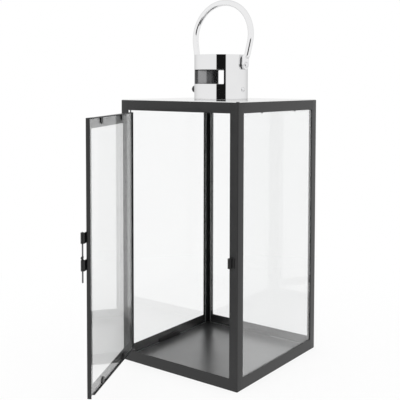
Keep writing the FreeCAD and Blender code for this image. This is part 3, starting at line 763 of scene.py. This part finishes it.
for side, way in (("right", 1), ("left", -1)):
    rivet_low, rivet_high = corners("handle_rivet_right")
    head = rivet_high[X] - RIVET_RISE
    set_head = rivet_low[X] + RIVET_BACK_TALL
    rivet_profile = np.vstack([
        [(0, rivet_low[X]), (RIVET_BACK - 0.4 * MM, rivet_low[X]), (RIVET_BACK, rivet_low[X] + 0.4 * MM),
         (RIVET_BACK, set_head), (RIVET_STEM, set_head), (RIVET_STEM, head), (RIVET_HEAD, head)],
        dome(RIVET_HEAD, RIVET_RISE, head)])
    rivet_rings = turned(rivet_profile, 48, (0.0, SWING_HIGH), X) * (way, 1, 1)
    piece(f"dome_rivet_{side}", [looped(rivet_rings)], "lantern", [f"handle_rivet_{side}"],
          FASTENER_STEEL)


# ---- door frame ----
# Four folded angles: two full-height stiles with the rails fitted between them, flush in front. The
# door is drawn shut, and then swung open about the line through its hinge pins.

DOOR_BEND = 1.1 * MM

HINGE = next(joint for joint in frame["joints"] if joint["name"] == "door_hinge")
PIVOT = np.array(HINGE["pos_m"])
OPEN = radians(HINGE["range_deg"][0])


def about_hinge(points, angle):
    """Points turned by an angle about the upright line through the hinge pins."""
    turn = np.array([[cos(angle), sin(angle), 0], [-sin(angle), cos(angle), 0], [0, 0, 1]])
    return (points - PIVOT) @ turn + PIVOT


def shut_corners(node):
    """The lowest and the highest corner of a node of the door when the door is shut."""
    spots = np.empty(len(frame["nodes"][node].data.vertices) * 3, np.float32)
    frame["nodes"][node].data.vertices.foreach_get("co", spots)
    shut = about_hinge(spots.reshape(-1, 3), -OPEN)
    return shut.min(0), shut.max(0)


stile_low, stile_high = shut_corners("door_stile_latch")
hinge_low, hinge_high = shut_corners("door_stile_hinge")
stile_deep = stile_high[Y] - stile_low[Y]
STILE_LEG = stile_high[X] - stile_low[X]
for side, outer, leg in (("latch", stile_high[X], -STILE_LEG), ("hinge", hinge_low[X], STILE_LEG)):
    section = folded((outer, stile_low[Y]), leg, stile_deep, SHEET, DOOR_BEND)
    stile = about_hinge(carried(section, Z, stile_low[Z], stile_high[Z]), OPEN)
    piece(f"door_angle_{side}", [capped(stile)], "door", [f"door_stile_{side}"],
          BLACK_FRAME, soft=CUT)

for side in ("bottom", "top"):
    low, high = shut_corners(f"door_rail_{side}")
    edge, reach = (low[Z], high[Z] - low[Z]) if side == "bottom" else (high[Z], low[Z] - high[Z])
    section = folded((low[Y], edge), high[Y] - low[Y], reach, SHEET, DOOR_BEND)
    inner = (hinge_high[X], stile_low[X])
    rail = about_hinge(carried(section, X, *inner), OPEN)
    piece(f"door_angle_{side}", [capped(rail)], "door", [f"door_rail_{side}"],
          BLACK_FRAME, soft=HAIRLINE)


# ---- door pane ----
# The door's own sheet of clear glass with ground edges, laid into the door frame from behind.

glass_low, glass_high = shut_corners("door_glass")
door_outline = rounded(oblong(glass_low[[X, Z]], glass_high[[X, Z]]), PANE_CORNER)
door_rings = carried(door_outline, Y, glass_low[Y], glass_high[Y])
door_through = about_hinge(PIVOT + np.array([0.0, 1.0, 0.0]), OPEN) - PIVOT
pane("pane_door", about_hinge(door_rings, OPEN), door_through, "door", "door_glass", BRIGHT_FACE)


# ---- clips that hold the door pane ----
# Four pointed strips of sheet welded to the door's top and bottom flanges and pressed against the
# back of the glass.

DOOR_CLIP_WIDE = 9.0 * MM

for side in ("bottom", "top"):
    low, high = shut_corners(f"door_clips_{side}")
    foot, tip = (low[Z], high[Z]) if side == "bottom" else (high[Z], low[Z])
    middles = (low[X] + DOOR_CLIP_WIDE / 2, high[X] - DOOR_CLIP_WIDE / 2)
    strips = [about_hinge(carried(pointed(middle, foot, tip, DOOR_CLIP_WIDE), Y, low[Y], high[Y]), OPEN)
              for middle in middles]
    piece(f"clips_on_door_{side}", [capped(strip) for strip in strips], "door",
          [f"door_clips_{side}"], BLACK_FRAME, soft=CUT)


# ---- hinge ----
# Two short steel pins fixed in the door's flanges at the hinge corner. Each turns in the eye of a lug
# behind the front rail; the lower pin has a step that carries the door's weight.

PIN_STEEL = polished("drawn_pin_steel", (0.16, 0.16, 0.165), (0.2, 0.32), (60, 60, 900), 0.003 * MM)
LUG_CORNER = 2.0 * MM
PIVOT_RADIUS = 1.0 * MM
SHOULDER = 2.0 * MM
EYE = PIVOT_RADIUS + 0.05 * MM

for side in ("bottom", "top"):
    low, high = corners(f"hinge_lug_{side}")
    lug_outline = rounded(oblong(low, high), (0.2 * MM, 0.2 * MM, LUG_CORNER, 0.2 * MM), steps=15)
    near = lug_outline - PIVOT[:2]
    order = np.argsort(np.arctan2(near[:, 1], near[:, 0]))
    lug_outline, near = lug_outline[order], near[order]
    eye = PIVOT[:2] + EYE * near / np.linalg.norm(near, axis=1, keepdims=True)
    lug_rings = np.stack([np.insert(line, Z, level, axis=1) for line, level in (
        (eye, low[Z]), (lug_outline, low[Z]), (lug_outline, high[Z]), (eye, high[Z]))])
    piece(f"lug_{side}", [looped(lug_rings)], "lantern", [f"hinge_lug_{side}"],
          BLACK_FRAME, soft=0.1 * MM)

step_low, step_high = corners("hinge_pin_bottom")
ledge_low, ledge_high = strip_high[Z], stile_low[Z]
lower_pin = [(0, step_low[Z]), (0.7 * PIVOT_RADIUS, step_low[Z]), (PIVOT_RADIUS, step_low[Z] + 0.4 * MM),
             (PIVOT_RADIUS, ledge_low), (SHOULDER, ledge_low), (SHOULDER, ledge_high),
             (PIVOT_RADIUS, ledge_high), (PIVOT_RADIUS, step_high[Z]), (0, step_high[Z])]
top_low, top_high = corners("hinge_pin_top")
upper_pin = [(0, top_low[Z]), (PIVOT_RADIUS, top_low[Z]), (PIVOT_RADIUS, top_high[Z] - 0.4 * MM),
             (0.7 * PIVOT_RADIUS, top_high[Z]), (0, top_high[Z])]
for side, profile in (("bottom", lower_pin), ("top", upper_pin)):
    piece(f"pivot_{side}", [looped(turned(profile, 32, PIVOT[:2]))], "door", [f"hinge_pin_{side}"],
          PIN_STEEL)


# ---- latch guides and keeper ----
# Three short pieces of sheet, each rolled at one edge to an open tube for the drop pin, with the
# flat leaf spot welded: two on the door's free stile, and the keeper on the right front post.

LATCH_BLACK = painted("black_latch_paint", (0.005, 0.005, 0.0052), (0.26, 0.36), 0.02 * MM, coat=0.0)
ROLL = 2.1 * MM                # middle of the rolled sheet, from the pin's line
ROLL_OUT = 2.6 * MM
ARM_GAP = 0.4 * MM             # the guide's arm passes this far off the post's face
JOGGLE_IN = 4.5 * MM           # the step to the arm starts here, from the stile's edge
JOGGLE_LONG = 3.0 * MM
GUIDE_WRAP = radians(318)      # how far a guide's sheet goes round the pin
GUIDE_EASE = radians(110)      # and how far until it has the roll's radius
KEEPER_WRAP = radians(300)
KEEPER_TURN = 1.2 * MM         # bend between the keeper's leaf and its roll

guide_low, guide_high = shut_corners("latch_guide_lower")
keeper_low, keeper_high = corners("latch_keeper")
FACE = strip_low[Y]
PIN_LINE = np.array([guide_high[X] - ROLL_OUT, guide_low[Y] + ROLL_OUT])


def thickened(line, thick):
    """Outline of a sheet seen on its edge: its middle line moved by half the thickness to both sides."""
    run = np.gradient(line, axis=0)
    run /= np.linalg.norm(run, axis=1, keepdims=True)
    aside = np.stack([-run[:, 1], run[:, 0]], axis=1) * thick / 2
    return np.vstack([line + aside, (line - aside)[::-1]])


def guide_line():
    """Middle line of a guide's sheet: flat on the stile, a small joggle off it, then a spiral round the
    pin whose radius eases from the arm's distance to the roll's own."""
    leaf_y = FACE - SHEET / 2
    arm_y = FACE - ARM_GAP - SHEET / 2
    leaf_x = np.linspace(guide_low[X], stile_high[X] - JOGGLE_IN, 6)
    joggle = np.linspace(0, 1, 7)[1:]
    joggle_x = leaf_x[-1] + joggle * JOGGLE_LONG
    joggle_y = leaf_y + (arm_y - leaf_y) * joggle ** 2 * (3 - 2 * joggle)
    arm_x = np.linspace(joggle_x[-1], PIN_LINE[0], 6)[1:]
    angle = np.linspace(pi / 2, pi / 2 - GUIDE_WRAP, 48)[1:]
    ease = np.clip((pi / 2 - angle) / GUIDE_EASE, 0, 1)
    radius = (arm_y - PIN_LINE[1]) * (1 - ease) + ROLL * ease
    roll = PIN_LINE + radius[:, None] * np.stack([np.cos(angle), np.sin(angle)], axis=1)
    return np.vstack([np.stack([leaf_x, 0 * leaf_x + leaf_y], 1), np.stack([joggle_x, joggle_y], 1),
                      np.stack([arm_x, 0 * arm_x + arm_y], 1), roll])


def keeper_line():
    """Middle line of the keeper's sheet: flat on the post, turned square off it, and then rolled round
    the pin."""
    leaf_y = FACE - SHEET / 2
    leaf_x = np.linspace(keeper_high[X], PIN_LINE[0] + ROLL + KEEPER_TURN, 6)
    corner = np.linspace(pi / 2, pi, 7)[1:]
    fold = KEEPER_TURN * np.stack([np.cos(corner), np.sin(corner)], 1) + (leaf_x[-1], leaf_y - KEEPER_TURN)
    angle = np.linspace(0, -KEEPER_WRAP, 48)
    roll = PIN_LINE + ROLL * np.stack([np.cos(angle), np.sin(angle)], axis=1)
    return np.vstack([np.stack([leaf_x, 0 * leaf_x + leaf_y], 1), fold, roll])


guide_section = thickened(guide_line(), SHEET)
for side in ("lower", "upper"):
    low, high = shut_corners(f"latch_guide_{side}")
    rolled = about_hinge(carried(guide_section, Z, low[Z], high[Z]), OPEN)
    piece(f"rolled_guide_{side}", [capped(rolled)], "door", [f"latch_guide_{side}"],
          LATCH_BLACK, soft=0.12 * MM)
keeper_rolled = carried(thickened(keeper_line(), SHEET), Z, keeper_low[Z], keeper_high[Z])
piece("rolled_keeper", [capped(keeper_rolled)], "lantern", ["latch_keeper"], LATCH_BLACK,
      soft=0.12 * MM)


# ---- drop pin ----
# A thin steel rod that slides in the guides. A small black bead pressed on over the lower guide is
# lifted with a finger, and keeps the pin from falling through.

PIN_RADIUS = 1.1 * MM
BEAD = 2.0 * MM
BEAD_OUT = 0.8 * MM
BEAD_FOOT = 0.15               # share of the bead's height that is its plain foot
BEAD_NECK = 1.25 * PIN_RADIUS

drop_low, drop_high = shut_corners("latch_pin")
rod_profile = [(0, drop_low[Z]), (0.55 * PIN_RADIUS, drop_low[Z]),
               (PIN_RADIUS, drop_low[Z] + 0.6 * MM), (PIN_RADIUS, drop_high[Z] - 0.5 * MM),
               (0.6 * PIN_RADIUS, drop_high[Z]), (0, drop_high[Z])]
rod = about_hinge(turned(rod_profile, 32, PIN_LINE), OPEN)
piece("drop_rod", [looped(rod)], "drop_pin", ["latch_pin"], PIN_STEEL)

bead_low, bead_high = shut_corners("latch_knob")
bead_share = np.linspace(0, 1, 21)[:, None]
bead_height = bead_low[Z] + (bead_high[Z] - bead_low[Z]) * bead_share
bead_rise = np.clip((bead_share - BEAD_FOOT) / (1 - BEAD_FOOT), 0, 1)
bead_belly = BEAD_NECK + (BEAD - BEAD_NECK) * np.sin(pi * bead_rise) ** 0.8
bead_radius = np.where(bead_share < BEAD_FOOT, BEAD * 0.95, bead_belly)
bead_out = BEAD_OUT * np.sin(pi * bead_share) ** 2
bead_angle = np.linspace(0, 2 * pi, 32, endpoint=False)
bead_x = PIN_LINE[0] + bead_radius * np.cos(bead_angle)
bead_y = PIN_LINE[1] - bead_out + bead_radius * np.sin(bead_angle)
bead_rings = np.stack([bead_x, bead_y, np.broadcast_to(bead_height, bead_x.shape)], axis=-1)
piece("lift_bead", [capped(about_hinge(bead_rings, OPEN))], "drop_pin", ["latch_knob"],
      LATCH_BLACK, soft=0.1 * MM)


# ---- floor, light and camera ----
# A plain white floor that keeps a faint shadow and fades into the white round it, and an even white
# light from all sides. The polished steel mirrors a dark strip beside the place of the view.

TOWARD_VIEW = (0.5913, -0.8064, 0.0)   # the level way from the lantern to the dark strip
DARK_STRIP = radians(20)       # half of the strip's width
STRIP_EDGE = (cos(DARK_STRIP * 1.06), cos(DARK_STRIP * 0.94))
DARK_TOP = sin(radians(5))     # the strip ends a little over the horizon
TOP_SOFT = 0.02
STRIP_TONE = (0.01, 0.01, 0.01, 1)
FLOOR_RADIUS = 3.0
FADE_FROM, FADE_TO = 0.3, 0.7
FADE_WIDE = 0.1                # the strip on the floor starts past the fade, over this distance
LIT_NEAR = 0.85                # how much of the floor near the lantern is lit by itself



def times(tree, one, other):
    return add(tree, "ShaderNodeMath", {0: one, 1: other}, operation="MULTIPLY").outputs[0]


def toward_view(tree, way):
    """1 for a level direction inside the dark strip, 0 outside it, with a soft edge."""
    facing = add(tree, "ShaderNodeVectorMath", {0: way, 1: TOWARD_VIEW}, operation="DOT_PRODUCT")
    return add(tree, "ShaderNodeMapRange", {0: facing.outputs["Value"], 1: STRIP_EDGE[0],
                                            2: STRIP_EDGE[1]}).outputs[0]


def in_mirror(tree, value):
    """The value where a thing is seen in a mirror, and 0 where it is seen plainly or through glass."""
    path = add(tree, "ShaderNodeLightPath").outputs
    seen = add(tree, "ShaderNodeMath", {0: path["Is Glossy Ray"], 1: path["Is Transmission Ray"]},
               operation="SUBTRACT", use_clamp=True).outputs[0]
    return times(tree, value, seen)


floor_angle = np.linspace(0, 2 * pi, 96, endpoint=False)
floor_edge = FLOOR_RADIUS * np.stack([np.cos(floor_angle), np.sin(floor_angle), 0 * floor_angle], axis=1)
floor_edge[:, Z] = -0.2 * MM
floor_mesh = bpy.data.meshes.new("floor")
floor_mesh.from_pydata(floor_edge.tolist(), [], [list(range(len(floor_edge)))])
floor = bpy.data.objects.new("floor", floor_mesh)
bpy.context.scene.collection.objects.link(floor)
white = bpy.data.materials.new("white_floor")
white.use_nodes = True
floor_mesh.materials.append(white)
tree = white.node_tree
tree.nodes.remove(tree.nodes["Principled BSDF"])
matt = add(tree, "ShaderNodeBsdfDiffuse", {"Color": (1, 1, 1, 1)})
lit = add(tree, "ShaderNodeEmission", {"Color": (1, 1, 1, 1), "Strength": 1.0})
spot = add(tree, "ShaderNodeTexCoord").outputs["Object"]
distance = add(tree, "ShaderNodeVectorMath", {0: spot}, operation="LENGTH").outputs["Value"]
fade = add(tree, "ShaderNodeMapRange", {0: distance, 1: FADE_FROM, 2: FADE_TO, 3: LIT_NEAR, 4: 1.0},
           interpolation_type="SMOOTHSTEP").outputs[0]
mix = add(tree, "ShaderNodeMixShader", {0: fade, 1: matt.outputs[0], 2: lit.outputs[0]})
bearing = add(tree, "ShaderNodeVectorMath", {0: spot}, operation="NORMALIZE").outputs[0]
far = add(tree, "ShaderNodeMapRange", {0: distance, 1: FADE_TO, 2: FADE_TO + FADE_WIDE}).outputs[0]
sector = in_mirror(tree, times(tree, toward_view(tree, bearing), far))
dark = add(tree, "ShaderNodeEmission", {"Color": STRIP_TONE, "Strength": 1.0})
whole = add(tree, "ShaderNodeMixShader", {0: sector, 1: mix.outputs[0], 2: dark.outputs[0]})
tree.links.new(whole.outputs[0], tree.nodes["Material Output"].inputs["Surface"])

CAMERA_AT = (0.7139, -0.9736, 0.4489)
CAMERA_TURN = radians(35.32)
CAMERA_TILT = radians(-2.83)
CAMERA_ROLL = radians(-0.22)
SENSOR = 36.0
PHOTO = 400                    # pixels on a side
FOCAL_PX = 738.6
CENTRE_PX = (233.1, 118.8)     # where the view's axis meets the photo, which is cut off centre

camera = bpy.data.objects.new("camera", bpy.data.cameras.new("camera"))
bpy.context.scene.collection.objects.link(camera)
camera.location = CAMERA_AT
camera.rotation_euler = (pi / 2 + CAMERA_TILT, CAMERA_ROLL, CAMERA_TURN)
camera.data.sensor_width = SENSOR
camera.data.lens = FOCAL_PX / PHOTO * SENSOR
camera.data.shift_x = (PHOTO / 2 - CENTRE_PX[0]) / PHOTO
camera.data.shift_y = (CENTRE_PX[1] - PHOTO / 2) / PHOTO
bpy.context.scene.camera = camera

world = bpy.data.worlds.new("white_room")
bpy.context.scene.world = world
world.use_nodes = True
tree = world.node_tree
sky = tree.nodes["Background"]
way = add(tree, "ShaderNodeTexCoord").outputs["Generated"]
level = add(tree, "ShaderNodeVectorMath", {0: way, 1: (1, 1, 0)}, operation="MULTIPLY").outputs[0]
level = add(tree, "ShaderNodeVectorMath", {0: level}, operation="NORMALIZE").outputs[0]
height = add(tree, "ShaderNodeSeparateXYZ", {0: way}).outputs["Z"]
under = add(tree, "ShaderNodeMapRange", {0: height, 1: DARK_TOP - TOP_SOFT, 2: DARK_TOP + TOP_SOFT,
                                        3: 1.0, 4: 0.0}).outputs[0]
strip = in_mirror(tree, times(tree, toward_view(tree, level), under))
tone = add(tree, "ShaderNodeMix", {0: strip, 6: (1, 1, 1, 1), 7: STRIP_TONE},
           data_type="RGBA").outputs[2]
tree.links.new(tone, sky.inputs["Color"])

bpy.context.scene.view_settings.view_transform = "Standard"
